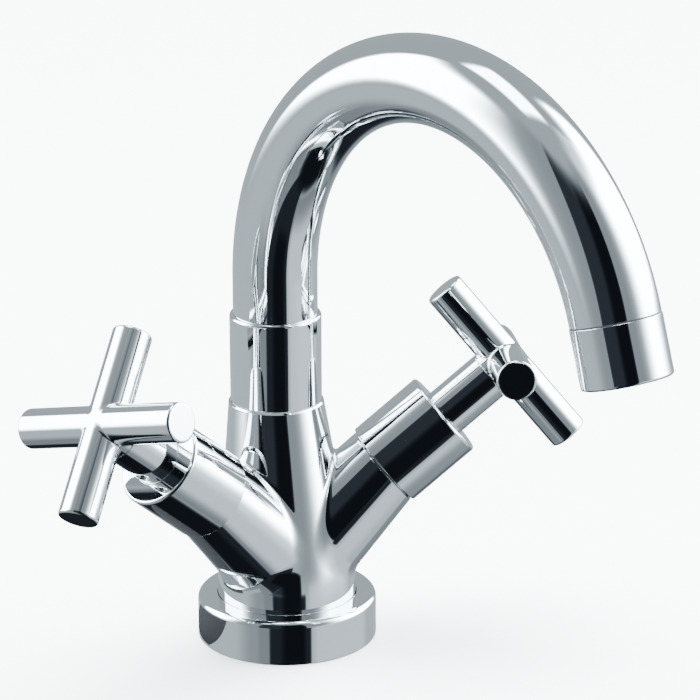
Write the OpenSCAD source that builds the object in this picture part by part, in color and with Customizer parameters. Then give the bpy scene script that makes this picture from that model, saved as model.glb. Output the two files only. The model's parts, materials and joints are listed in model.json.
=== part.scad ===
// Basin mixer tap: one-hole body with two forward-swept valve arms, cross handles and a swan-neck spout that swings.
// Millimetres, +Z up. The origin is the middle of the underside, where the tap stands on the basin.
// The front of the tap faces -Y. The left (hot) handle is at -X and the right (cold) handle at +X.

/* [Base] */
// Radius of the round base flange
flange_r = 25; // [24.5:0.1:26]
// Height of the base flange
flange_h = 12.5; // [12:0.1:13.5]
// Rounding of the flange's upper edge
flange_round = 1.8; // [1:0.1:2.2]

/* [Body] */
// Radius of the body where it rises out of the flange
column_r = 19.4; // [19.2:0.1:19.8]
// Height up to which the body's foot is a plain cylinder
column_top = 20; // [18:0.5:22]
// Distance that the neck stands behind the middle of the base
neck_back = 6; // [5.5:0.1:6.5]
// Height of the neck's top face
neck_top = 67.5; // [67:0.1:68]
// Radius of the neck at its top
neck_r = 13.3; // [13.2:0.1:13.8]

/* [Valve arms] */
// Height at which the axes of the two arms cross
arm_cross_z = 25.4; // [25:0.1:26]
// Angle of each arm from upright
arm_tilt = 50.8; // [50:0.1:52]
// Angle that each arm is swept forward
arm_sweep = 15.5; // [14:0.1:17]
// Radius of the arm where the shroud begins
arm_r = 12; // [11.8:0.1:12.4]
// Radius that the arm's cone would have where the axes cross
arm_root_r = 19.2; // [18:0.1:19.4]

/* [Shrouds] */
// Outer radius of the shroud that covers each valve
shroud_r = 12.8; // [12.6:0.1:13]
// Distance of the shroud's inner end from the crossing of the axes
shroud_start = 35.8; // [35.6:0.1:36]
// Distance of the shroud's outer end from the crossing of the axes
shroud_end = 58.1; // [57.8:0.1:58.6]

/* [Handles] */
// Radius of the handle's stem
stem_r = 6.95; // [6.9:0.01:7]
// Distance of the cross's middle from the crossing of the axes
cross_at = 80.5; // [80:0.1:82]
// Radius of the cross's four arms
rod_r = 5.53; // [5.4:0.01:5.6]
// Distance from the cross's middle to the tip of an arm
rod_reach = 27.4; // [26:0.1:29]
// Turn of the left cross about its axis when its valve is shut
left_rest = 18.1; // [0:0.1:40]
// Turn of the right cross about its axis when its valve is shut
right_rest = 9.7; // [0:0.1:40]
// Turn of each handle from shut to fully open
valve_turn = 90; // [80:1:90]

/* [Spout] */
// Swing of the spout from the front, towards the right handle
spout_swing = 15; // [-45:1:45]
// Swing of the spout to each side of the front, from stop to stop
swing_limit = 60; // [45:1:70]
// Radius of the collar that carries the spout
collar_r = 12.75; // [12.6:0.05:13]
// Height of the collar's top edge
collar_top = 92.8; // [92:0.1:94]
// Outer radius of the spout tube
tube_r = 11.75; // [11.5:0.05:11.9]
// Wall of the spout tube
tube_wall = 1.25; // [1:0.05:1.5]
// Height at which the tube's bend begins
bend_z = 103.3; // [100:0.1:106]
// Radius of the bend along the tube's middle
bend_r = 68.1; // [66:0.1:70]
// Angle that the tube bends through
bend_angle = 162.5; // [155:0.5:165]

/* [Outlet] */
// Outer radius of the aerator housing
aerator_r = 11.9; // [11.8:0.05:12.1]
// Visible length of the aerator housing
aerator_l = 16.2; // [15:0.1:17]

/* [Fixing and supply] */
// Radius of the tapped hole for the M8 fixing stud
stud_hole_r = 3.4; // [3.3:0.05:3.5]
// Depth of the fixing stud's hole
stud_depth = 14; // [12:0.5:16]
// Radius of the tapped holes for the M10 x 1 supply tails
inlet_hole_r = 4.5; // [4.4:0.05:4.6]
// Depth of the supply tails' holes
inlet_depth = 12; // [10:0.5:13]
// Distance of each supply tail from the middle
inlet_x = 10.5; // [10.2:0.1:10.8]

/* [Hidden] */
$fn = 96;

LEFT = -1;
RIGHT = 1;
eps = 1;

// Base: the flange slides over the foot from below and an O-ring holds it there.
flange_bore_r = column_r + 0.1;
flange_oring_z = 6.2;
flange_oring_r = 0.9;
gasket_r1 = 20.6;
gasket_r2 = 23.4;
gasket_h = 2;
gasket_gap = 0.1;

// Neck, water ways and the socket in which the spout's spigot turns.
neck_ring_h = 2.2;
neck_bevel = 0.45;
water_r = 3.5;
riser_top = 33;
mixing_r = 6;
mixing_floor = 43;
socket_r = 9;
socket_floor = 50;
duct_z = 48;
duct_at = 27;
running_gap = 0.05;
slip_r1 = 9.8;
slip_r2 = 12.3;
slip_h = 0.75;
slip_bed = 0.6;

// Stations along an arm, measured from the crossing of the axes.
port_start = 9;
seat_at = 16;
arm_end = 35.2;
arm_spigot_end = 40;
arm_spigot_r = 11.3;
thread_r = 9.3;
seal_h = 2.6;
fixed_disc_h = 3.8;
moving_disc_h = 4.2;
disc_gap = 0.02;
washer_h = 1;
hex_h = 5;
nose_end = 52.5;
stem_start = 54.6;
boss_start = 74.5;
boss_end = 79;

seal_top = seat_at + seal_h;
fixed_disc_top = seal_top + fixed_disc_h;
moving_disc_start = fixed_disc_top + disc_gap;
moving_disc_top = moving_disc_start + moving_disc_h;
washer_top = arm_spigot_end + washer_h;
hex_top = washer_top + hex_h;

// Valve radii.
skirt_r = 8.9;
disc_chamber_r = 8.35;
disc_r = 8.25;
seal_r1 = 5;
seal_r2 = 8.2;
drive_head_r = 7.9;
drive_head_h = 2.8;
drive_key = [3, 12, 1.5];
spindle_r = 5;
nose_r = 7.6;
stop_r = 6.9;
stop_h = 2.2;
stop_half_angle = 15;
hex_r = 10.9;
spline_r = 4;
spline_root_r = 3.55;
spline_teeth = 20;
spline_end = 66;
bush_r = 5.2;
port_r1 = 2.6;
port_r2 = 6.6;
port_angle = 70;
spindle_oring_at = [36, 43];
spindle_oring_r = 0.75;
clip_groove_r = 4.3;
clip_r = 6.4;
clip_h = 0.9;
handle_screw_at = 62;
handle_screw_r = 1.7;
stud_into_cross_r = 3;
stud_into_cross_end = 81;

// Spout joint.
collar_bottom = neck_top + 0.2;
collar_round = 0.95;
spigot_r = socket_r - running_gap;
spigot_bore_r = 6.5;
spigot_thread_r = 9.5;
spigot_top = 79.5;
spigot_bottom = socket_floor + 1;
tube_start = 84;
collar_neck_r = 8;
oring_floor_r = 7.6;
spout_oring_r = 0.68;
spout_oring_z = [54.6, 64.5];
spout_oring_w = 2;
lock_z = 59;
lock_groove_w = 3.6;
lock_dog_r = 1.5;
lock_dog_tip = 7.9;
lock_thread_r = 2.1;
lock_thread_start = 9.3;
lock_thread_end = 12.6;
lock_play = 0.5;

// Outlet.
end_ring_l = 9;
outlet_thread_r = 9.5;
aerator_neck_l = 7;
aerator_bore_r = 8.2;
aerator_lip_r = 7.5;
aerator_lip_h = 1.4;
aerator_seam = 0.2;
aerator_round = 0.8;
aerator_gasket_h = 1.4;
core_r = 8.1;
core_start = 6;
core_h = 8.6;
core_hole_r = 0.75;
core_pitch = 2;
core_rings = 3;
screen_h = 1;
screen_hole_r = 0.45;
screen_pitch = 1.35;
screen_rings = 5;

function arm_point(side, s) = [
    side * s * sin(arm_tilt) * cos(arm_sweep),
    -s * sin(arm_tilt) * sin(arm_sweep),
    arm_cross_z + s * cos(arm_tilt)
];

// ---- places ----

// +Z runs outwards along the arm, from the crossing of the axes.
module on_right_arm() translate([0, 0, arm_cross_z]) rotate([0, arm_tilt, -arm_sweep]) children();

module on_arm(side) {
    if (side == RIGHT) on_right_arm() children();
    else mirror([1, 0, 0]) on_right_arm() children();
}

// The same, turned with the handle as it stands when the valve is shut.
module on_valve(side) on_arm(side) rotate([0, 0, side == RIGHT ? -right_rest : -left_rest]) children();

// The spout's own frame: the spout points to -Y.
module on_spout() translate([0, neck_back, 0]) rotate([0, 0, spout_swing]) children();

// +Z runs out of the outlet, from the end of the bend.
module on_outlet() on_spout()
    translate([0, -bend_r * (1 - cos(bend_angle)), bend_z + bend_r * sin(bend_angle)])
        rotate([bend_angle, 0, 0]) children();

// ---- shapes ----

// A tube from z1 to z2.
module ring(r1, r2, z1, z2) translate([0, 0, z1]) difference() {
    cylinder(r = r2, h = z2 - z1);
    translate([0, 0, -eps]) cylinder(r = r1, h = z2 - z1 + 2 * eps);
}

// An O-ring that rests on a groove's floor of radius floor_r.
module oring(floor_r, section_r, z) translate([0, 0, z])
    rotate_extrude() translate([floor_r + section_r, 0]) circle(r = section_r, $fn = 48);

// Half outline of a round bar from 0 to h, with its upper outer edge rounded.
module rounded_profile(r, h, edge) {
    square([r, h - edge]);
    square([r - edge, h]);
    translate([r - edge, h - edge]) circle(r = edge, $fn = 64);
}

module rounded_cylinder(r, h, edge) rotate_extrude() intersection() {
    rounded_profile(r, h, edge);
    square([r + eps, h + eps]);
}

// A sector of a ring, centred on the angle at.
module sector(r1, r2, z1, z2, at, span) translate([0, 0, z1]) rotate([0, 0, at - span / 2])
    rotate_extrude(angle = span) translate([r1, 0]) square([r2 - r1, z2 - z1]);

// A round bore from the point a to the point b.
module bore_between(a, b, r) {
    v = b - a;
    translate(a) rotate([0, acos(v.z / norm(v)), atan2(v.y, v.x)]) cylinder(r = r, h = norm(v));
}

// Rings of holes round a middle one.
module hole_field(r, pitch, rings, z1, z2) translate([0, 0, z1]) {
    cylinder(r = r, h = z2 - z1, $fn = 24);
    for (i = [1:rings], k = [0:6 * i - 1])
        rotate([0, 0, 360 * k / (6 * i)]) translate([i * pitch, 0, 0])
            cylinder(r = r, h = z2 - z1, $fn = 24);
}

// ---- base and body ----

module body_outside() {
    lean = atan(neck_back / (neck_top - column_top));
    trunk_top = neck_top - neck_ring_h;
    // foot
    cylinder(r = column_r, h = column_top);
    // trunk, leaning back from the foot to the neck
    intersection() {
        translate([0, 0, column_top]) rotate([-lean, 0, 0]) translate([0, 0, -eps])
            cylinder(r1 = column_r, r2 = neck_r, h = neck_top - column_top + 2 * eps);
        translate([-2 * flange_r, -2 * flange_r, 0]) cube([4 * flange_r, 4 * flange_r, trunk_top]);
    }
    // neck's rim, bevelled to the collar
    translate([0, neck_back, trunk_top]) {
        cylinder(r = neck_r, h = neck_ring_h - neck_bevel);
        translate([0, 0, neck_ring_h - neck_bevel])
            cylinder(r1 = neck_r, r2 = neck_r - neck_bevel, h = neck_bevel);
    }
    for (side = [LEFT, RIGHT]) on_arm(side) {
        cylinder(r1 = arm_root_r, r2 = arm_r, h = arm_end);
        cylinder(r = arm_spigot_r, h = arm_spigot_end);
    }
}

module body_water_ways() {
    translate([0, 0, -eps]) cylinder(r = stud_hole_r, h = stud_depth + eps);
    for (side = [LEFT, RIGHT]) {
        translate([side * inlet_x, 0, -eps]) cylinder(r = inlet_hole_r, h = inlet_depth + eps);
        translate([side * inlet_x, 0, 0]) cylinder(r = water_r, h = riser_top);
        on_arm(side) {
            translate([0, 0, port_start]) cylinder(r = water_r, h = seat_at - port_start + eps);
            translate([0, 0, seat_at]) cylinder(r = thread_r, h = arm_spigot_end - seat_at + eps);
        }
        bore_between([0, neck_back, duct_z], arm_point(side, duct_at), water_r);
    }
    translate([0, neck_back, mixing_floor]) cylinder(r = mixing_r, h = socket_floor - mixing_floor + eps);
    translate([0, neck_back, socket_floor]) cylinder(r = socket_r, h = neck_top - socket_floor + eps);
}

module body() color("silver") difference() {
    body_outside();
    body_water_ways();
    // bed of the slip ring
    translate([0, neck_back, 0]) ring(slip_r1, slip_r2, neck_top - slip_bed, neck_top + eps);
    // tapped hole of the lock screw, in the back of the neck
    translate([0, neck_back, lock_z]) rotate([-90, 0, 0]) cylinder(r = lock_thread_r, h = neck_r + 6);
    // groove of the flange's O-ring
    ring(column_r - 2 * flange_oring_r + 0.1, column_r + eps,
         flange_oring_z - flange_oring_r - 0.2, flange_oring_z + flange_oring_r + 0.2);
}

module base_flange() color("gainsboro") difference() {
    rounded_cylinder(flange_r, flange_h, flange_round);
    translate([0, 0, -eps]) cylinder(r = flange_bore_r, h = flange_h + 2 * eps);
    ring(gasket_r1 - gasket_gap, gasket_r2 + gasket_gap, -eps, gasket_h);
}

module base_gasket() color("dimgray") ring(gasket_r1, gasket_r2, 0, gasket_h);

module flange_oring() color("dimgray")
    oring(column_r - 2 * flange_oring_r + 0.1, flange_oring_r, flange_oring_z);

module spout_slip_ring() color("white") translate([0, neck_back, 0])
    ring(slip_r1, slip_r2, neck_top - slip_bed, neck_top - slip_bed + slip_h);

module spout_lock_screw() color("gray") translate([0, neck_back, lock_z]) rotate([-90, 0, 0]) difference() {
    union() {
        translate([0, 0, lock_dog_tip]) cylinder(r = lock_dog_r, h = lock_thread_start - lock_dog_tip);
        translate([0, 0, lock_thread_start])
            cylinder(r = lock_thread_r, h = lock_thread_end - lock_thread_start);
    }
    // hexagon socket
    translate([0, 0, lock_thread_end - 1.6]) cylinder(r = 1.2, h = 1.6 + eps, $fn = 6);
}

// ---- valves, on the arms ----

module cartridge(side) color("goldenrod") on_valve(side) difference() {
    union() {
        ring(disc_chamber_r, skirt_r, seal_top - 1.4, moving_disc_top + drive_head_h);
        translate([0, 0, moving_disc_top + drive_head_h])
            cylinder(r = thread_r, h = arm_spigot_end - moving_disc_top - drive_head_h);
        translate([0, 0, arm_spigot_end]) cylinder(r = skirt_r, h = washer_h);
        translate([0, 0, washer_top]) cylinder(r = hex_r, h = hex_h, $fn = 6);
        translate([0, 0, hex_top]) cylinder(r = nose_r, h = nose_end - hex_top);
    }
    // bore of the spindle
    translate([0, 0, seat_at]) cylinder(r = spindle_r + running_gap, h = nose_end);
    // side windows that let the water out into the body
    translate([0, 0, (moving_disc_start + moving_disc_top) / 2]) for (a = [0, 90])
        rotate([0, 0, a + 45]) translate([-12, -2.5, -1.6]) cube([24, 5, 3.2]);
    // slot of the stop lug: a quarter turn and the lug's own width
    sector(spindle_r, stop_r + 0.15, nose_end - stop_h - 0.15, nose_end + eps,
           90 - valve_turn / 2, valve_turn + 2 * stop_half_angle + 1);
}

module cartridge_washer(side) color("dimgray") on_valve(side)
    ring(thread_r, arm_spigot_r - 0.4, arm_spigot_end, washer_top);

module seat_seal(side) color("dimgray") on_valve(side) ring(seal_r1, seal_r2, seat_at, seal_top);

module fixed_disc(side) color("ivory") on_valve(side) difference() {
    translate([0, 0, seal_top]) cylinder(r = disc_r, h = fixed_disc_h);
    for (at = [0, 180]) sector(port_r1, port_r2, seal_top - eps, fixed_disc_top + eps, at, port_angle);
}

module moving_disc(side) color("ivory") on_valve(side) difference() {
    translate([0, 0, moving_disc_start]) cylinder(r = disc_r, h = moving_disc_h);
    // two cut-outs open to the rim, a quarter turn from the ports while the valve is shut
    for (at = [90, 270])
        sector(port_r1, disc_r + eps, moving_disc_start - eps, moving_disc_top - 1.2, at, port_angle + 6);
    // slot of the spindle's key
    translate([-drive_key.x / 2, -drive_key.y / 2, moving_disc_top - drive_key.z + 0.5])
        cube([drive_key.x, drive_key.y, drive_key.z]);
}

module spline(grow, h) linear_extrude(height = h) polygon([
    for (i = [0:2 * spline_teeth - 1])
        let (a = 180 * i / spline_teeth, r = (i % 2 == 0 ? spline_r : spline_root_r) + grow)
            [r * cos(a), r * sin(a)]
]);

module spindle(side) color("goldenrod") on_valve(side) difference() {
    union() {
        // key and drive head
        translate([-drive_key.x / 2, -drive_key.y / 2, moving_disc_top - drive_key.z + 0.5])
            cube([drive_key.x, drive_key.y, drive_key.z]);
        translate([0, 0, moving_disc_top]) cylinder(r = drive_head_r, h = drive_head_h - 0.1);
        translate([0, 0, moving_disc_top]) cylinder(r = spindle_r, h = nose_end + 1.4 - moving_disc_top);
        // stop lug
        sector(spindle_r - 0.5, stop_r, nose_end - stop_h, nose_end, 90, 2 * stop_half_angle);
        translate([0, 0, nose_end + 1.4]) spline(0, spline_end - nose_end - 1.4);
    }
    for (z = spindle_oring_at)
        ring(spindle_r - 1.5, spindle_r + eps, z - spindle_oring_r - 0.1, z + spindle_oring_r + 0.1);
    ring(clip_groove_r, spindle_r + eps, nose_end + 0.1, nose_end + 0.1 + clip_h);
}

module spindle_orings(side) color("dimgray") on_valve(side) for (z = spindle_oring_at)
    oring(spindle_r - 1.5, spindle_oring_r, z);

// open retaining ring on the spindle, over the cartridge's nose
module spindle_clip(side) color("gray") on_valve(side)
    sector(clip_groove_r, clip_r, nose_end + 0.1, nose_end + 0.1 + clip_h, 270, 300);

module shroud(side) color("gainsboro") on_arm(side) difference() {
    translate([0, 0, shroud_start]) rounded_cylinder(shroud_r, shroud_end - shroud_start, 0.9);
    translate([0, 0, shroud_start - eps])
        cylinder(r = arm_spigot_r, h = shroud_end - shroud_start - 2.4 + eps);
    translate([0, 0, shroud_start]) cylinder(r = stem_r + running_gap, h = shroud_end);
}

// ---- handles ----

module spline_bush(side) color("white") on_valve(side) difference() {
    translate([0, 0, stem_start + 0.4]) cylinder(r = bush_r, h = spline_end - stem_start - 0.4);
    translate([0, 0, stem_start]) spline(0, spline_end);
    // window for the handle screw
    translate([0, 0, handle_screw_at]) rotate([0, 90, 0]) cylinder(r = handle_screw_r, h = 2 * bush_r);
}

module handle_stem(side) color("gainsboro") on_valve(side) difference() {
    union() {
        translate([0, 0, stem_start]) cylinder(r = stem_r, h = boss_start - stem_start);
        translate([0, 0, boss_start - eps]) cylinder(r = stud_into_cross_r, h = stud_into_cross_end - boss_start + eps);
    }
    translate([0, 0, stem_start - eps]) cylinder(r = bush_r, h = spline_end - stem_start + 0.6 + eps);
    translate([0, 0, handle_screw_at]) rotate([0, 90, 0]) cylinder(r = handle_screw_r, h = 2 * stem_r);
}

module handle_screw(side) color("gray") on_valve(side)
    translate([0, 0, handle_screw_at]) rotate([0, 90, 0]) difference() {
        translate([0, 0, spline_r]) cylinder(r = handle_screw_r, h = stem_r - spline_r - 0.6);
        translate([0, 0, stem_r - 0.6 - 1.2]) cylinder(r = 1, h = 2, $fn = 6);
    }

module cross_bar() rotate([0, 90, 0]) {
    rounded_cylinder(rod_r, rod_reach, 0.7);
    mirror([0, 0, 1]) rounded_cylinder(rod_r, rod_reach, 0.7);
}

module handle_cross(side) color("gainsboro") on_valve(side) difference() {
    union() {
        translate([0, 0, cross_at]) cross_bar();
        translate([0, 0, cross_at]) rotate([0, 0, 90]) cross_bar();
        translate([0, 0, boss_start]) cylinder(r = stem_r, h = boss_end - boss_start);
    }
    translate([0, 0, boss_start - eps]) cylinder(r = stud_into_cross_r, h = stud_into_cross_end - boss_start + eps);
}

// ---- spout ----

module spout_spigot() color("goldenrod") on_spout() difference() {
    union() {
        translate([0, 0, spigot_bottom]) cylinder(r = spigot_r, h = spigot_top - spigot_bottom);
        translate([0, 0, collar_bottom]) cylinder(r = spigot_thread_r, h = spigot_top - collar_bottom);
    }
    translate([0, 0, spigot_bottom - eps]) cylinder(r = spigot_bore_r, h = spigot_top);
    for (z = spout_oring_z)
        ring(oring_floor_r, socket_r + eps, z - spout_oring_w / 2, z + spout_oring_w / 2);
    // groove in which the lock screw's point runs; its ends stop the swing
    sector(oring_floor_r, socket_r + eps, lock_z - lock_groove_w / 2, lock_z + lock_groove_w / 2,
           90, 2 * (swing_limit + asin(lock_dog_r / lock_dog_tip) + lock_play));
}

module spout_orings() color("dimgray") on_spout() for (z = spout_oring_z)
    oring(oring_floor_r, spout_oring_r, z);

module spout_collar() color("gainsboro") on_spout() difference() {
    translate([0, 0, collar_bottom]) rounded_cylinder(collar_r, collar_top - collar_bottom, collar_round);
    translate([0, 0, collar_bottom - eps]) cylinder(r = spigot_thread_r, h = spigot_top - collar_bottom + 0.5 + eps);
    translate([0, 0, collar_bottom]) cylinder(r = collar_neck_r, h = collar_top);
    translate([0, 0, tube_start]) cylinder(r = tube_r, h = collar_top);
}

module bent_bar(r) {
    translate([0, 0, tube_start]) cylinder(r = r, h = bend_z - tube_start);
    translate([0, -bend_r, bend_z]) rotate([90, 0, 90])
        rotate_extrude(angle = bend_angle) translate([bend_r, 0]) circle(r = r);
}

module spout_tube() color("gainsboro") on_spout() difference() {
    bent_bar(tube_r);
    bent_bar(tube_r - tube_wall);
}

// brazed into the tube's end, so its outside follows the bend and its tapped bore is straight
module spout_end_ring() color("goldenrod") difference() {
    intersection() {
        on_spout() bent_bar(tube_r - tube_wall - 0.01);
        on_outlet() translate([0, 0, -end_ring_l]) cylinder(r = tube_r, h = end_ring_l);
    }
    on_outlet() translate([0, 0, -end_ring_l - eps]) cylinder(r = outlet_thread_r, h = end_ring_l + 2 * eps);
}

// ---- outlet ----

module aerator_housing() color("gainsboro") on_outlet() difference() {
    union() {
        translate([0, 0, -aerator_neck_l]) cylinder(r = outlet_thread_r, h = aerator_neck_l + eps);
        translate([0, 0, aerator_seam])
            rounded_cylinder(aerator_r, aerator_l - aerator_seam, aerator_round);
    }
    translate([0, 0, -aerator_neck_l - eps])
        cylinder(r = aerator_bore_r, h = aerator_neck_l + aerator_l - aerator_lip_h + eps);
    translate([0, 0, 0]) cylinder(r = aerator_lip_r, h = aerator_l + eps);
}

module aerator_gasket() color("dimgray") on_outlet()
    ring(aerator_bore_r - 1.4, outlet_thread_r - 0.2, -aerator_neck_l - aerator_gasket_h, -aerator_neck_l);

module aerator_screen() color("lightgray") on_outlet() difference() {
    translate([0, 0, core_start - screen_h]) cylinder(r = core_r, h = screen_h);
    hole_field(screen_hole_r, screen_pitch, screen_rings, core_start - screen_h - eps, core_start + eps);
}

module aerator_core() color("white") on_outlet() difference() {
    translate([0, 0, core_start]) cylinder(r = core_r, h = core_h);
    hole_field(core_hole_r, core_pitch, core_rings, core_start - eps, core_start + core_h + eps);
}

body();
base_flange();
base_gasket();
flange_oring();
spout_slip_ring();
spout_lock_screw();
spout_spigot();
spout_orings();
spout_collar();
spout_tube();
spout_end_ring();
aerator_housing();
aerator_gasket();
aerator_screen();
aerator_core();
cartridge(LEFT);  // left_cartridge
cartridge_washer(LEFT);  // left_cartridge_washer
seat_seal(LEFT);  // left_seat_seal
fixed_disc(LEFT);  // left_fixed_disc
shroud(LEFT);  // left_shroud
moving_disc(LEFT);  // left_moving_disc
spindle(LEFT);  // left_spindle
spindle_orings(LEFT);  // left_spindle_orings
spindle_clip(LEFT);  // left_spindle_clip
spline_bush(LEFT);  // left_spline_bush
handle_stem(LEFT);  // left_handle_stem
handle_screw(LEFT);  // left_handle_screw
handle_cross(LEFT);  // left_handle_cross
cartridge(RIGHT);  // right_cartridge
cartridge_washer(RIGHT);  // right_cartridge_washer
seat_seal(RIGHT);  // right_seat_seal
fixed_disc(RIGHT);  // right_fixed_disc
shroud(RIGHT);  // right_shroud
moving_disc(RIGHT);  // right_moving_disc
spindle(RIGHT);  // right_spindle
spindle_orings(RIGHT);  // right_spindle_orings
spindle_clip(RIGHT);  // right_spindle_clip
spline_bush(RIGHT);  // right_spline_bush
handle_stem(RIGHT);  // right_handle_stem
handle_screw(RIGHT);  // right_handle_screw
handle_cross(RIGHT);  // right_handle_cross
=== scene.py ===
"""Basin mixer tap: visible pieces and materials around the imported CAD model.

Shapes are worked out in millimetres in the CAD model's frame (+Z up, the tap's front to -Y) and stored in
metres.
"""
import json
import math

import bmesh
import bpy
import numpy as np
from mathutils import Matrix, Vector


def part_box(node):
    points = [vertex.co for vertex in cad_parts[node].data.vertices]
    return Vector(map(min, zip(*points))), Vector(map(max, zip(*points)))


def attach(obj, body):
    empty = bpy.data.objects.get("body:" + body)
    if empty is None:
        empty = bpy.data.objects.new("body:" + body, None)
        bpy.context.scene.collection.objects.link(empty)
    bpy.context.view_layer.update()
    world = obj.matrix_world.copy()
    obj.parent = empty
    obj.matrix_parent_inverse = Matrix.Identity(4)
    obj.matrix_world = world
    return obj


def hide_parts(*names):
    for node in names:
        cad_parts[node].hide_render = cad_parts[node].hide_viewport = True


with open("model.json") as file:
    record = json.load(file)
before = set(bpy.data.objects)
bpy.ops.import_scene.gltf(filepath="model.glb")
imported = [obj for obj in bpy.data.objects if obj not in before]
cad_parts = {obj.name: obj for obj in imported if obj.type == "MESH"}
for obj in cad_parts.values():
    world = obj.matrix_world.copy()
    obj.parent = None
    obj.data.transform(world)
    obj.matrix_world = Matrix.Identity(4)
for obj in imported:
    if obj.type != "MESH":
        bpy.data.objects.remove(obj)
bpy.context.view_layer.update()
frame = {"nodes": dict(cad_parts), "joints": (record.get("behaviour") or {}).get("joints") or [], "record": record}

MM = 0.001
JOINTS = {j["name"]: j for j in frame["joints"]}
SIDES = ("left", "right")


# ---------------------------------------------------------------- places, from the frame

def unit(v):
    return v / np.linalg.norm(v)


def joint_place(name):
    """(point, direction) of a joint's axis, the point in millimetres."""
    joint = JOINTS[name]
    return np.array(joint["pos_m"]) / MM, unit(np.array(joint["axis"], float))


def node_box(name):
    low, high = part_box(name)
    return np.array(low) / MM, np.array(high) / MM


UP = np.array((0.0, 0.0, 1.0))
FORWARD = np.array((0.0, -1.0, 0.0))
CROSSING = joint_place("left_handle_turn")[0]
ARM_AXIS = {side: joint_place(side + "_handle_turn")[1] for side in SIDES}
NECK = joint_place("spout_swing")[0] * (1, 1, 0)
FLANGE_LOW, FLANGE_HIGH = node_box("base_flange")
COLLAR_LOW, COLLAR_HIGH = node_box("spout_collar")


def frame_matrix(origin, x, y, z):
    m = np.eye(4)
    m[:3, 0], m[:3, 1], m[:3, 2], m[:3, 3] = x, y, z, origin
    return m


def arm_frame(side, turn=0.0):
    """Local +Z runs out along the arm from the crossing; local +X points outwards and down, then turns about
    +Z. The left arm's frame mirrors the right one's."""
    z = ARM_AXIS[side]
    level = unit(np.cross(UP, z))
    if side == "left":
        level = -level
    x = np.cross(level, z) if side == "right" else np.cross(z, level)
    c, s = math.cos(math.radians(turn)), math.sin(math.radians(turn))
    return frame_matrix(CROSSING, c * x - s * level, s * x + c * level, z)


# ---------------------------------------------------------------- sizes in millimetres

# base flange; the groove is (inner radius, outer radius, depth)
FLANGE_R = (FLANGE_HIGH[0] - FLANGE_LOW[0]) / 2
FLANGE_H = FLANGE_HIGH[2]
FLANGE_ROUND = 1.8
FLANGE_BORE_R = 19.5
GASKET_GROOVE = (20.5, 23.5, 2.0)

# body: a foot that narrows into the leaning neck, and two arms; holes are (radius, depth)
FOOT_R = 19.4
FOOT_TOP = 19.0
NECK_R = 13.3
NECK_TOP = 67.5
NECK_BEVEL = 0.45
SOCKET_R = 9.0
TRUNK_SOFTNESS = 3.0
ARM_ROOT_R = 15.2
ARM_ROOT_DROP = 4.0
ARM_R = 12.0
ARM_END = 35.2
ARM_SPIGOT_R = 11.3
FILLET = 1.6
STUD_HOLE = (3.4, 14.0)
INLET_HOLE = (4.5, 12.0)
INLET_X = 10.5
LOCK_Z = 59.0
LOCK_HOLE_R = 2.1

# valves and handles; places are distances along the arm from the crossing
SHROUD_R = 12.8
SHROUD = (35.8, 58.1)
SHROUD_ROUND = 0.9
STEM_R = 6.95
STEM = (54.6, 74.6)
CROSS_AT = 80.5
ROD_R = 5.53
ROD_REACH = 27.4
ROD_ROUND = 0.7
REST_TURN = {"left": 18.1, "right": 9.7}
HANDLE_SCREW_AT = 62.0
HANDLE_SCREW_R = 1.75

# spout; the seam's shade ring is (inner radius, outer radius): a black ring filling the aerator's seam as painted
# shade
COLLAR_R = (COLLAR_HIGH[0] - COLLAR_LOW[0]) / 2
COLLAR = (COLLAR_LOW[2], COLLAR_HIGH[2])
COLLAR_ROUND = 0.95
TUBE_R = 11.75
TUBE_BORE_R = 10.5
SPOUT_SWING = 15.0
BEND_Z = 103.3
BEND_R = 68.1
BEND_ANGLE = 162.5
AERATOR_R = 11.9
AERATOR_L = 16.2
AERATOR_SEAM = 0.45
AERATOR_ROUND = 0.8
AERATOR_LIP_R = 7.5
AERATOR_LIP = 1.4
AERATOR_BORE_R = 8.2
SEAM_SHADE_RING = (10.15, 11.65)

# mesh spacing
BODY_CELL = 0.55
HANDLE_CELL = 0.4


# ---------------------------------------------------------------- mesh tools
# A shape is (points, faces, normals): arrays of points and their normals, and a list of index tuples.

def moved(shape, m):
    """The shape carried by a matrix; a mirroring matrix turns the faces round so they still look outwards."""
    points, faces, normals = shape
    if np.linalg.det(m[:3, :3]) < 0:
        faces = [face[::-1] for face in faces]
    return points @ m[:3, :3].T + m[:3, 3], faces, normals @ m[:3, :3].T


def joined(*shapes):
    points, faces, normals, start = [], [], [], 0
    for p, f, n in shapes:
        points.append(p)
        normals.append(n)
        faces += [tuple(i + start for i in face) for face in f]
        start += len(p)
    return np.concatenate(points), faces, np.concatenate(normals)


def piece(name, shape, body, material, replaced=()):
    """A smooth-shaded object whose shading follows the shape's exact normals."""
    points, faces, normals = shape
    mesh = bpy.data.meshes.new(name)
    mesh.from_pydata((points * MM).tolist(), [], faces)
    mesh.polygons.foreach_set("use_smooth", [True] * len(mesh.polygons))
    mesh.normals_split_custom_set_from_vertices(normals.tolist())
    mesh.materials.append(material)
    made = bpy.data.objects.new(name, mesh)
    bpy.context.scene.collection.objects.link(made)
    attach(made, body)
    if replaced:
        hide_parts(*replaced)
    return made


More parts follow.
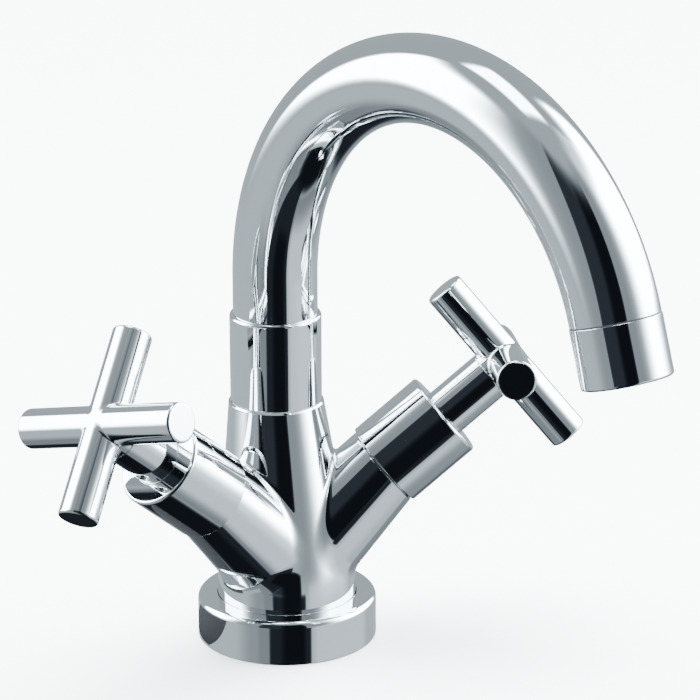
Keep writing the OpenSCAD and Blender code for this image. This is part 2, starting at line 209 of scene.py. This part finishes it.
def rounded_outline(corners, step=math.radians(9)):
    """Points and outward normals along a closed (r, z) outline, each corner given as (r, z, rounding radius).

    The outline runs up the outside and down the inside, so that outwards is on its right."""
    points, normals = [], []
    count = len(corners)
    for i in range(count):
        before, here, after = (np.array(corners[(i + k) % count][:2], float) for k in (-1, 0, 1))
        radius = corners[i][2]
        a, b = unit(here - before), unit(after - here)
        turn = math.atan2(a[0] * b[1] - a[1] * b[0], a @ b)
        reach = radius * math.tan(abs(turn) / 2)
        side = 1 if turn > 0 else -1
        centre = here - a * reach + side * radius * np.array((-a[1], a[0]))
        steps = max(2, int(abs(turn) / step))
        for k in range(steps + 1):
            t = turn * k / steps
            outward = np.array((a[1], -a[0]))
            outward = np.array((outward[0] * math.cos(t) - outward[1] * math.sin(t),
                                outward[0] * math.sin(t) + outward[1] * math.cos(t)))
            points.append(centre + side * radius * outward)
            normals.append(outward)
    return np.array(points), np.array(normals)


def lathe(corners, around=144):
    """A closed ring with rounded edges, turned about +Z."""
    outline, outward = rounded_outline(corners)
    count = len(outline)
    angles = np.linspace(0, 2 * math.pi, around, endpoint=False)
    c, s = np.cos(angles)[:, None], np.sin(angles)[:, None]
    points = np.stack([outline[:, 0] * c, outline[:, 0] * s, outline[:, 1] + 0 * c], -1).reshape(-1, 3)
    normals = np.stack([outward[:, 0] * c, outward[:, 0] * s, outward[:, 1] + 0 * c], -1).reshape(-1, 3)
    faces = []
    for i in range(around):
        this, that = i * count, (i + 1) % around * count
        for k in range(count):
            n = (k + 1) % count
            faces.append((this + k, that + k, that + n, this + n))
    return points, faces, normals


def tube_along(centres, tangents, side_axis, radius, around=128):
    """An open tube round a flat curve; side_axis is square to the curve's plane."""
    angles = np.linspace(0, 2 * math.pi, around, endpoint=False)
    points, normals = [], []
    for centre, tangent in zip(centres, tangents):
        across = np.cross(side_axis, tangent)
        ring = np.cos(angles)[:, None] * side_axis + np.sin(angles)[:, None] * across
        points.append(centre + radius * ring)
        normals.append(ring)
    faces = []
    for i in range(len(centres) - 1):
        for k in range(around):
            n = (k + 1) % around
            faces.append((i * around + k, (i + 1) * around + k, (i + 1) * around + n, i * around + n))
    return np.concatenate(points), faces, np.concatenate(normals)


# ---------------------------------------------------------------- distance fields

def smooth_min(a, b, k):
    h = np.clip(0.5 + 0.5 * (b - a) / k, 0, 1)
    return b + (a - b) * h - k * h * (1 - h)


def smooth_max(a, b, k):
    return -smooth_min(-a, -b, k)


def along_and_off(p, origin, axis):
    """Distance along an axis from origin, and distance off it."""
    w = p - origin
    s = w @ axis
    return s, np.sqrt(np.maximum((w * w).sum(-1) - s * s, 0))


def tapered_bar(p, origin, axis, radius, slope):
    """A cone that narrows along axis, with a ball as its blunt end at origin."""
    s, off = along_and_off(p, origin, axis)
    c = 1 / math.sqrt(1 + slope * slope)
    b = slope * c
    ball = radius * c
    return np.where(c * s - b * off < 0, np.sqrt(s * s + off * off) - ball, c * off + b * s - ball)


def drilled(f, p, mouth, axis, radius, depth, edge=0.3):
    """f with a round hole from mouth, depth deep along axis."""
    s, off = along_and_off(p, mouth, axis)
    hole = np.maximum(off - radius, np.abs(s - depth / 2 + 1) - depth / 2 - 1)
    return smooth_max(f, -hole, edge)


def softplus(x, width):
    return width * np.logaddexp(0, x / width)


def body_field(p):
    rise = NECK_TOP - NECK_BEVEL - FOOT_TOP
    above = softplus(p[..., 2] - FOOT_TOP, TRUNK_SOFTNESS)
    radius = FOOT_R - (FOOT_R - NECK_R) / rise * above
    middle = NECK[1] / rise * above
    f = np.hypot(p[..., 0], p[..., 1] - middle) - radius
    for side in SIDES:
        axis = ARM_AXIS[side]
        root = CROSSING - ARM_ROOT_DROP * unit(UP - (UP @ axis) * axis)
        reach = CROSSING + ARM_END * axis - root
        slope = (ARM_ROOT_R - ARM_R) / np.linalg.norm(reach)
        f = smooth_min(f, tapered_bar(p, root, unit(reach), ARM_ROOT_R, slope), FILLET)
    f = smooth_max(f, -p[..., 2], 0.4)
    f = drilled(f, p, np.zeros(3), UP, *STUD_HOLE)
    for x in (-INLET_X, INLET_X):
        f = drilled(f, p, np.array((x, 0, 0)), UP, *INLET_HOLE)
    mouth = NECK + (0, NECK_R + 3, LOCK_Z)
    return drilled(f, p, mouth, FORWARD, LOCK_HOLE_R, NECK_R - SOCKET_R + 3)


def round_bar(p, axis, radius, reach, edge):
    s, off = along_and_off(p, np.zeros(3), axis)
    out = np.stack([off - radius + edge, np.abs(s) - reach + edge])
    return np.minimum(out.max(0), 0) + np.sqrt((np.maximum(out, 0) ** 2).sum(0)) - edge


def cross_field(p):
    """The cross about its own middle: +Z away from the tap, with the boss that takes the stem below."""
    bars = smooth_min(round_bar(p, np.array((1.0, 0, 0)), ROD_R, ROD_REACH, ROD_ROUND),
                      round_bar(p, np.array((0, 1.0, 0)), ROD_R, ROD_REACH, ROD_ROUND), 0.6)
    s, off = along_and_off(p, np.zeros(3), UP)
    low = STEM[1] - CROSS_AT - 0.1
    boss = np.maximum(off - STEM_R, np.maximum(s + 1.5, low - s))
    return smooth_min(bars, boss, 0.4)


def stem_field(p):
    """The stem along +Z from its foot, with the grub screw's hole."""
    s, off = along_and_off(p, np.zeros(3), UP)
    f = smooth_max(off - STEM_R, np.maximum(-s, s - (STEM[1] - STEM[0])), 0.3)
    screw = np.array((STEM_R + 2, 0, HANDLE_SCREW_AT - STEM[0]))
    return drilled(f, p, screw, np.array((-1.0, 0, 0)), HANDLE_SCREW_R, 4.5)


def gradient(field, p, h=0.02):
    steps = h * np.eye(3)
    return np.stack([field(p + d) - field(p - d) for d in steps], -1) / (2 * h)


def onto_surface(field, p, rounds=4):
    for _ in range(rounds):
        g = gradient(field, p)
        p = p - (field(p) / np.maximum((g * g).sum(-1), 1e-6))[:, None] * g
    return p


def surface(field, low, high, cell):
    """Quads over the zero level of a field: one point in each cell that the level crosses, put onto it."""
    low, high = np.array(low, float), np.array(high, float)
    counts = np.ceil((high - low) / cell).astype(int) + 1
    grid = np.stack(np.meshgrid(*[low[i] + cell * np.arange(counts[i]) for i in range(3)], indexing="ij"), -1)
    values = np.concatenate([field(part) for part in np.array_split(grid, 8)])
    inside = values < 0
    cells = counts - 1
    total, hits = np.zeros((*cells, 3)), np.zeros(cells)
    crossings = []
    for axis in range(3):
        near = [slice(None)] * 3
        far = [slice(None)] * 3
        near[axis], far[axis] = slice(0, -1), slice(1, None)
        at = np.argwhere(inside[tuple(near)] != inside[tuple(far)])
        others = [i for i in range(3) if i != axis]
        at = at[np.all((at[:, others] > 0) & (at[:, others] < cells[others]), axis=1)]
        step = np.eye(3, dtype=int)[axis]
        f0, f1 = values[tuple(at.T)], values[tuple((at + step).T)]
        point = grid[tuple(at.T)] + (f0 / (f0 - f1))[:, None] * cell * step
        corners = []
        for shift in ((-1, -1), (0, -1), (0, 0), (-1, 0)):
            c = at.copy()
            c[:, others[0]] += shift[0]
            c[:, others[1]] += shift[1]
            np.add.at(total, tuple(c.T), point)
            np.add.at(hits, tuple(c.T), 1)
            corners.append(c)
        crossings.append((corners, (f0 < 0) != (axis == 1)))
    used = np.argwhere(hits > 0)
    index = np.full(cells, -1)
    index[tuple(used.T)] = np.arange(len(used))
    points = total[tuple(used.T)] / hits[tuple(used.T)][:, None]
    faces = []
    for corners, outwards in crossings:
        quads = np.stack([index[tuple(c.T)] for c in corners], -1)
        quads[~outwards] = quads[~outwards][:, ::-1]
        faces += [tuple(q) for q in quads.tolist()]
    points = onto_surface(field, points)
    return points, faces, normals_of(field, points)


def normals_of(field, points):
    g = gradient(field, points)
    return g / np.linalg.norm(g, axis=-1, keepdims=True)


def cut(shape, field, planes):
    """The shape without what lies beyond each plane (point, direction), with clean edges there."""
    points, faces, _ = shape
    bm = bmesh.new()
    for p in points:
        bm.verts.new(p)
    bm.verts.ensure_lookup_table()
    for face in faces:
        bm.faces.new([bm.verts[i] for i in face])
    for point, direction in planes:
        bmesh.ops.bisect_plane(bm, geom=bm.verts[:] + bm.edges[:] + bm.faces[:], dist=1e-5,
                               plane_co=Vector(point), plane_no=Vector(direction), clear_outer=True)
    bm.verts.index_update()
    points = np.array([v.co for v in bm.verts])
    faces = [tuple(v.index for v in f.verts) for f in bm.faces]
    bm.free()
    return points, faces, normals_of(field, points)


# ---------------------------------------------------------------- materials

def node_material(name, colour, metallic, roughness, tint=0.0, bump=0.0, shine=0.5):
    """A Principled material: roughness is (low, high) over a fine noise, and tint shifts the colour over a
    broad one."""
    material = bpy.data.materials.new(name)
    material.use_nodes = True
    tree = material.node_tree
    tree.nodes.clear()
    output = tree.nodes.new("ShaderNodeOutputMaterial")
    shader = tree.nodes.new("ShaderNodeBsdfPrincipled")
    place = tree.nodes.new("ShaderNodeTexCoord")
    shader.inputs["Metallic"].default_value = metallic
    shader.inputs["Specular IOR Level"].default_value = shine
    tree.links.new(shader.outputs["BSDF"], output.inputs["Surface"])

    def noise(scale, detail):
        n = tree.nodes.new("ShaderNodeTexNoise")
        n.inputs["Scale"].default_value = scale
        n.inputs["Detail"].default_value = detail
        tree.links.new(place.outputs["Object"], n.inputs["Vector"])
        return n.outputs["Fac"]

    smudge = tree.nodes.new("ShaderNodeMapRange")
    smudge.inputs["From Min"].default_value = 0.35
    smudge.inputs["From Max"].default_value = 0.7
    smudge.inputs["To Min"].default_value = roughness[0]
    smudge.inputs["To Max"].default_value = roughness[1]
    tree.links.new(noise(95.0, 3.0), smudge.inputs["Value"])
    tree.links.new(smudge.outputs["Result"], shader.inputs["Roughness"])

    mix = tree.nodes.new("ShaderNodeMix")
    mix.data_type = "RGBA"
    low = [c * (1 - tint) for c in colour]
    high = [min(1.0, c * (1 + tint)) for c in colour]
    mix.inputs["A"].default_value = (*low, 1)
    mix.inputs["B"].default_value = (*high, 1)
    tree.links.new(noise(40.0, 2.0), mix.inputs["Factor"])
    tree.links.new(mix.outputs["Result"], shader.inputs["Base Color"])

    if bump:
        bumps = tree.nodes.new("ShaderNodeBump")
        bumps.inputs["Strength"].default_value = bump
        bumps.inputs["Distance"].default_value = 0.0002
        tree.links.new(noise(900.0, 2.0), bumps.inputs["Height"])
        tree.links.new(bumps.outputs["Normal"], shader.inputs["Normal"])
    return material


MATERIALS = {
    "chrome": node_material("chrome", (0.78, 0.80, 0.81), 1.0, (0.025, 0.06), tint=0.015),
    "brass": node_material("brass", (0.70, 0.52, 0.26), 1.0, (0.22, 0.36), tint=0.06, bump=0.2),
    "steel": node_material("steel", (0.52, 0.53, 0.55), 1.0, (0.25, 0.4), tint=0.05, bump=0.2),
    "rubber": node_material("rubber", (0.025, 0.025, 0.027), 0.0, (0.6, 0.8), tint=0.2, bump=0.4),
    "white_plastic": node_material("white_plastic", (0.78, 0.78, 0.75), 0.0, (0.35, 0.5), tint=0.04,
                                   bump=0.15),
    "ceramic": node_material("ceramic", (0.82, 0.79, 0.70), 0.0, (0.12, 0.2), tint=0.03),
}


def dress_cad_nodes():
    """Every CAD node takes the material of its slot."""
    for row in frame["record"]["subparts"]:
        node = frame["nodes"][row["node"]]
        node.data.materials.clear()
        node.data.materials.append(MATERIALS[row["material_slot"]])


# ---------------------------------------------------------------- pieces

def make_body():
    low = (-46, -27, -1)
    high = (46, 24, NECK_TOP + 1.5)
    shell = surface(body_field, low, high, BODY_CELL)
    planes = [(NECK + (0, 0, NECK_TOP - NECK_BEVEL), UP)]
    planes += [(CROSSING + ARM_END * ARM_AXIS[side], ARM_AXIS[side]) for side in SIDES]
    shell = cut(shell, body_field, planes)
    neck_rim = lathe([(SOCKET_R, NECK_TOP - 4, 0.2), (NECK_R - 0.3, NECK_TOP - 4, 0.2),
                      (NECK_R, NECK_TOP - NECK_BEVEL, 0.12), (NECK_R - NECK_BEVEL, NECK_TOP, 0.12),
                      (SOCKET_R, NECK_TOP, 0.2)])
    rims = [moved(neck_rim, frame_matrix(NECK, *np.eye(3)))]
    for side in SIDES:
        rim = lathe([(ARM_SPIGOT_R - 2, ARM_END - 3, 0.2), (ARM_R - 0.4, ARM_END - 3, 0.2),
                     (ARM_R, ARM_END, 0.1), (ARM_R - 0.3, ARM_END + 0.25, 0.1),
                     (ARM_SPIGOT_R, ARM_END + 0.3, 0.1), (ARM_SPIGOT_R, SHROUD[0] + 2, 0.2),
                     (ARM_SPIGOT_R - 2, SHROUD[0] + 2, 0.2)])
        rims.append(moved(rim, arm_frame(side)))
    piece("body_casting", joined(shell, *rims), "tap_body", MATERIALS["chrome"], ["body"])


def make_flange():
    inner, outer, depth = GASKET_GROOVE
    ring = lathe([(FLANGE_BORE_R, 0, 0.25), (inner, 0, 0.15), (inner, depth, 0.15), (outer, depth, 0.15),
                  (outer, 0, 0.15), (FLANGE_R, 0, 0.35), (FLANGE_R, FLANGE_H, FLANGE_ROUND),
                  (FLANGE_BORE_R, FLANGE_H, 0.2)], around=192)
    piece("flange_ring", ring, "tap_body", MATERIALS["chrome"], ["base_flange"])


def make_shroud(side):
    start, end = SHROUD
    bore = STEM_R + 0.05
    shell = lathe([(ARM_SPIGOT_R, start, 0.2), (SHROUD_R, start, 0.3), (SHROUD_R, end, SHROUD_ROUND),
                   (bore, end, 0.2), (bore, end - 2.4, 0.1), (ARM_SPIGOT_R, end - 2.4, 0.3)])
    piece(side + "_valve_shroud", moved(shell, arm_frame(side)), "tap_body", MATERIALS["chrome"],
          [side + "_shroud"])


def make_handle(side):
    place = arm_frame(side, REST_TURN[side])
    body = side + "_handle"
    reach = ROD_REACH + 1
    low = (-reach, -reach, STEM[1] - CROSS_AT - 0.9)
    high = (reach, reach, ROD_R + 1)
    cross = surface(cross_field, low, high, HANDLE_CELL)
    cross = (cross[0] + (0, 0, CROSS_AT), cross[1], cross[2])
    piece(side + "_cross", moved(cross, place), body, MATERIALS["chrome"], [side + "_handle_cross"])
    r = STEM_R + 0.8
    stem = surface(stem_field, (-r, -r, -0.8), (r, r, STEM[1] - STEM[0] + 0.8), 0.3)
    stem = (stem[0] + (0, 0, STEM[0]), stem[1], stem[2])
    piece(side + "_stem", moved(stem, place), body, MATERIALS["chrome"], [side + "_handle_stem"])


def spout_frame():
    a = math.radians(SPOUT_SWING)
    return frame_matrix(NECK, (math.cos(a), math.sin(a), 0), (-math.sin(a), math.cos(a), 0), UP)


def outlet_frame():
    """Local +Z runs out of the outlet, from the end of the bend, within the spout's own frame."""
    a = math.radians(BEND_ANGLE)
    origin = np.array(bend_point(a))
    out = np.array((0, -math.sin(a), math.cos(a)))
    side = np.array((1.0, 0, 0))
    return spout_frame() @ frame_matrix(origin, side, np.cross(out, side), out)


def bend_point(turn):
    """The middle of the bent tube at this angle round the bend, within the spout's own frame."""
    return 0, -BEND_R * (1 - math.cos(turn)), BEND_Z + BEND_R * math.sin(turn)


def make_spout():
    chrome = MATERIALS["chrome"]
    low, high = COLLAR
    collar = lathe([(COLLAR_R - 3, low, 0.1), (COLLAR_R, low, 0.2), (COLLAR_R, high, COLLAR_ROUND),
                    (TUBE_R - 0.1, high, 0.02), (TUBE_R - 0.1, high - 4, 0.1), (COLLAR_R - 3, high - 4, 0.1)])
    piece("collar", moved(collar, spout_frame()), "spout", chrome, ["spout_collar"])

    straight = np.linspace(high - 3, BEND_Z, 6)[:-1]
    turns = np.radians(np.linspace(0, BEND_ANGLE, 150))
    centres = [(0, 0, z) for z in straight] + [bend_point(t) for t in turns]
    tangents = [(0, 0, 1)] * len(straight) + [(0, -math.sin(t), math.cos(t)) for t in turns]
    side = np.array((1.0, 0, 0))
    tube = tube_along(np.array(centres, float), np.array(tangents, float), side, TUBE_R)
    mouth = lathe([(TUBE_BORE_R, -3, 0.2), (TUBE_R - 0.05, -3, 0.2), (TUBE_R, 0, 0.06),
                   (TUBE_BORE_R, 0, 0.2)])
    tube = joined(moved(tube, spout_frame()), moved(mouth, outlet_frame()))
    piece("swan_neck", tube, "spout", chrome, ["spout_tube"])

    lip = AERATOR_L - AERATOR_LIP
    housing = lathe([(AERATOR_BORE_R, AERATOR_SEAM, 0.1), (AERATOR_R, AERATOR_SEAM, 0.1),
                     (AERATOR_R, AERATOR_L, AERATOR_ROUND), (AERATOR_LIP_R, AERATOR_L, 0.4),
                     (AERATOR_LIP_R, lip, 0.1), (AERATOR_BORE_R, lip, 0.1)])
    piece("aerator_shell", moved(housing, outlet_frame()), "spout", chrome, ["aerator_housing"])
    # painted shade: a black rubber ring filling the aerator's seam groove, so that the seam reads as a dark line
    inner, outer = SEAM_SHADE_RING
    shade_ring = lathe([(inner, -0.1, 0.02), (outer, -0.1, 0.02), (outer, AERATOR_SEAM + 0.1, 0.02),
                    (inner, AERATOR_SEAM + 0.1, 0.02)])
    piece("aerator_seam_painted_shade", moved(shade_ring, outlet_frame()), "spout", MATERIALS["rubber"])


# ---------------------------------------------------------------- stage, light and camera

def area_light(name, place, target, size, power):
    data = bpy.data.lights.new(name, "AREA")
    data.shape = "RECTANGLE"
    data.size, data.size_y = size
    data.energy = power
    light = bpy.data.objects.new(name, data)
    light.location = place
    light.rotation_mode = "QUATERNION"
    light.rotation_quaternion = (Vector(target) - Vector(place)).to_track_quat("-Z", "Y")
    bpy.context.scene.collection.objects.link(light)
    return light


class Sky:
    """The studio round the tap, seen only in its chrome: light panels and dark openings by direction.

    Azimuth is in degrees round +Z from the tap's front (-Y) towards +X, and elevation is in degrees above the
    horizon. Tones are in stops, so that the soft edge between two panels looks even."""

    def __init__(self, tree):
        self.tree = tree
        place = tree.nodes.new("ShaderNodeTexCoord")
        split = tree.nodes.new("ShaderNodeSeparateXYZ")
        tree.links.new(place.outputs["Generated"], split.inputs["Vector"])
        x, y, z = split.outputs
        degree = 180 / math.pi
        self.azimuth = self.math("MULTIPLY", self.math("ARCTAN2", x, self.math("MULTIPLY", y, -1.0)), degree)
        self.elevation = self.math("MULTIPLY", self.math("ARCSINE", z), degree)
        height = self.math("MAXIMUM", z, 0.02)
        self.ceiling_x = self.math("DIVIDE", x, height)
        self.ceiling_y = self.math("DIVIDE", y, height)
        self.tone = None

    def math(self, operation, *values):
        node = self.tree.nodes.new("ShaderNodeMath")
        node.operation = operation
        for socket, value in zip(node.inputs, values):
            if isinstance(value, (int, float)):
                socket.default_value = value
            else:
                self.tree.links.new(value, socket)
        return node.outputs["Value"]

    def step(self, value, at, soft):
        """0 below and 1 above, with a soft edge reaching this far each way; a negative one turns it round."""
        node = self.tree.nodes.new("ShaderNodeMapRange")
        node.interpolation_type = "SMOOTHSTEP"
        node.inputs["From Min"].default_value = at - abs(soft)
        node.inputs["From Max"].default_value = at + abs(soft)
        node.inputs["To Min"].default_value = 0.0 if soft > 0 else 1.0
        node.inputs["To Max"].default_value = 1.0 if soft > 0 else 0.0
        self.tree.links.new(value, node.inputs["Value"])
        return node.outputs["Result"]

    def lay(self, mask, stops):
        """Puts a panel of this tone over what is there already."""
        if self.tone is None:
            self.tone = stops
            return
        change = self.math("MULTIPLY", mask, self.math("SUBTRACT", stops, self.tone))
        self.tone = self.math("ADD", self.tone, change)

    def band(self, value, low, high, soft):
        below, above = soft if isinstance(soft, tuple) else (soft, soft)
        return self.math("MULTIPLY", self.step(value, low, below), self.step(value, high, -above))

    def panel(self, stops, across, upright, side_soft=3.0, end_soft=5.0):
        """across is (from, to) in azimuth and upright is (from, to) in elevation."""
        middle, half = (across[0] + across[1]) / 2, (across[1] - across[0]) / 2
        turn = self.math("WRAP", self.math("SUBTRACT", self.azimuth, middle), 180.0, -180.0)
        mask = self.math("MULTIPLY", self.band(turn, -half, half, side_soft),
                         self.band(self.elevation, *upright, end_soft))
        self.lay(mask, stops)

    def ceiling_panel(self, stops, across, deep, soft):
        """A level panel overhead; across and deep are its edges in x and y at unit height."""
        inside_x = self.band(self.ceiling_x, *across, soft)
        inside_y = self.band(self.ceiling_y, *deep, soft)
        overhead = self.step(self.elevation, 40.0, 5.0)
        self.lay(self.math("MULTIPLY", self.math("MULTIPLY", inside_x, inside_y), overhead), stops)

    def finish(self, colour, shadow_colour):
        background = self.tree.nodes["Background"]
        mix = self.tree.nodes.new("ShaderNodeMix")
        mix.data_type = "RGBA"
        mix.inputs["A"].default_value = (*shadow_colour, 1)
        mix.inputs["B"].default_value = (*colour, 1)
        self.tree.links.new(self.step(self.tone, -3.5, 2.5), mix.inputs["Factor"])
        self.tree.links.new(mix.outputs["Result"], background.inputs["Color"])
        self.tree.links.new(self.math("POWER", 2.0, self.tone), background.inputs["Strength"])


DARK_OPENING = (-60.0, -1.0)
ALL_ROUND = (-200.0, 200.0)
STUDIO_TINT = (0.88, 1.02, 1.10)
SHADOW_TINT = (0.80, 1.02, 1.36)


def make_sky():
    world = bpy.data.worlds.new("studio")
    bpy.context.scene.world = world
    world.use_nodes = True
    sky = Sky(world.node_tree)
    sky.lay(None, -0.85)
    # the grey room, darker towards the floor
    sky.panel(-0.45, ALL_ROUND, (-38, -10), end_soft=(6, 8))
    sky.panel(-1.8, ALL_ROUND, (-66, -46), end_soft=(4, 7))
    sky.panel(-1.4, (-84, -50), (-30, 62), side_soft=(14, 3), end_soft=8)
    # the left softbox
    sky.panel(4.2, (-151, -99), (-6, 50), side_soft=(3, 14), end_soft=(7, 7))
    # the right wall, brighter towards its softbox
    sky.panel(-1.5, (-4, 60), (0, 64), side_soft=(1, 8), end_soft=8)
    sky.panel(0.0, (12, 98), (-50, -5), side_soft=(4, 6), end_soft=(12, 5))
    sky.panel(0.8, (30, 88), (-16, 70), side_soft=(18, 6), end_soft=(9, 7))
    sky.panel(4.3, (42, 120), (-4, 54), side_soft=(17, 4), end_soft=(7, 9))
    # the back of the room, below
    sky.panel(-1.6, (92, 215), (-60, -28), side_soft=6, end_soft=8)
    sky.panel(-5.6, (122, 202), (-80, -43), side_soft=9, end_soft=6)
    # the dark side of the room, behind the camera
    sky.panel(-4.7, DARK_OPENING, (-11, 55), side_soft=(1.5, 2.0), end_soft=(2, 11))
    sky.panel(-1.75, (-62, 0), (-75, -11), side_soft=(3, 2), end_soft=(5, 2))
    sky.panel(-5.4, (-47, 6), (-75, -11), side_soft=(2, 2), end_soft=(5, 2))
    sky.panel(-6.8, (-30, -2), (-42, 50), side_soft=(6, 3), end_soft=(6, 8))
    # overhead
    sky.ceiling_panel(3.8, (-0.19, 0.27), (-0.03, 0.56), 0.06)
    # straight down
    sky.panel(-6.6, ALL_ROUND, (-100, -69), side_soft=3, end_soft=(5, 4))
    sky.finish(STUDIO_TINT, SHADOW_TINT)


# the floor's side is in metres; the painted contact shadow, a dark sheet that only the chrome mirrors, runs
# between these distances from the flange and these azimuths
FLOOR_SIZE = 12.0
SHADOW_SHEET_REACH = (0.5, 23.0)
SHADOW_SHEET_TURNS = (-140, -84)
SHADOW_SHEET_Z = 0.4


def stage_sheet(name, corners, material):
    mesh = bpy.data.meshes.new(name)
    mesh.from_pydata(corners, [], [tuple(range(len(corners)))])
    mesh.materials.append(material)
    sheet = bpy.data.objects.new(name, mesh)
    bpy.context.scene.collection.objects.link(sheet)
    sheet.visible_shadow = False
    return sheet


def make_stage():
    """A pale floor that the chrome doesn't mirror, and a dark sheet by the flange that only it mirrors: painted
    contact shadow for the flange to reflect.
    """
    paint = node_material("floor_paint", (0.88, 0.88, 0.88), 0.0, (0.7, 0.9))
    half = FLOOR_SIZE / 2
    corners = [(-half, -half, 0), (half, -half, 0), (half, half, 0), (-half, half, 0)]
    floor = stage_sheet("floor", corners, paint)
    floor.visible_glossy = False

    # painted shadow: a near-black sheet beside the flange, hidden from the camera and from diffuse light, that the
    # chrome mirrors as the floor's contact shadow
    shadow_paint = node_material("painted_contact_shadow", (0.014, 0.0145, 0.016), 0.0, (0.8, 0.9), shine=0.0)
    inner, outer = FLANGE_R + SHADOW_SHEET_REACH[0], FLANGE_R + SHADOW_SHEET_REACH[1]
    turns = [math.radians(a) for a in range(*SHADOW_SHEET_TURNS, 4)]
    arc = [(r * math.sin(t) * MM, -r * math.cos(t) * MM, SHADOW_SHEET_Z * MM)
           for r, run in ((inner, turns), (outer, turns[::-1])) for t in run]
    sheet = stage_sheet("painted_contact_shadow", arc, shadow_paint)
    sheet.visible_camera = False
    sheet.visible_diffuse = False
    lamp = area_light("overhead", (0.1, 0.25, 1.6), (0, 0, 0.0), (1.6, 1.6), 250)
    lamp.visible_glossy = False


# angles in degrees, distances in metres, the lens in millimetres
CAMERA_AZIMUTH = -25.517
CAMERA_ELEVATION = 18.758
CAMERA_ROLL = -0.219
CAMERA_DISTANCE = 1.0656
CAMERA_LENS = 199.27
AIM_HEIGHT = 0.08337
AIM_RIGHT = 0.01795


def make_camera():
    a, e, r = (math.radians(x) for x in (CAMERA_AZIMUTH, CAMERA_ELEVATION, CAMERA_ROLL))
    back = Vector((math.sin(a) * math.cos(e), -math.cos(a) * math.cos(e), math.sin(e)))
    right = Vector((math.cos(a), math.sin(a), 0))
    up = back.cross(right)
    aim = Vector((0, 0, AIM_HEIGHT)) + AIM_RIGHT * right
    x = math.cos(r) * right + math.sin(r) * up
    y = math.cos(r) * up - math.sin(r) * right
    data = bpy.data.cameras.new("camera")
    data.lens = CAMERA_LENS
    data.sensor_width = 36
    data.clip_start, data.clip_end = 0.05, 50
    camera = bpy.data.objects.new("camera", data)
    turned = Matrix((x, y, back)).transposed().to_4x4()
    camera.matrix_world = Matrix.Translation(aim + CAMERA_DISTANCE * back) @ turned
    bpy.context.scene.collection.objects.link(camera)
    bpy.context.scene.camera = camera


make_camera()
dress_cad_nodes()
make_body()
make_flange()
for side in SIDES:
    make_shroud(side)
    make_handle(side)
make_spout()
make_sky()
make_stage()
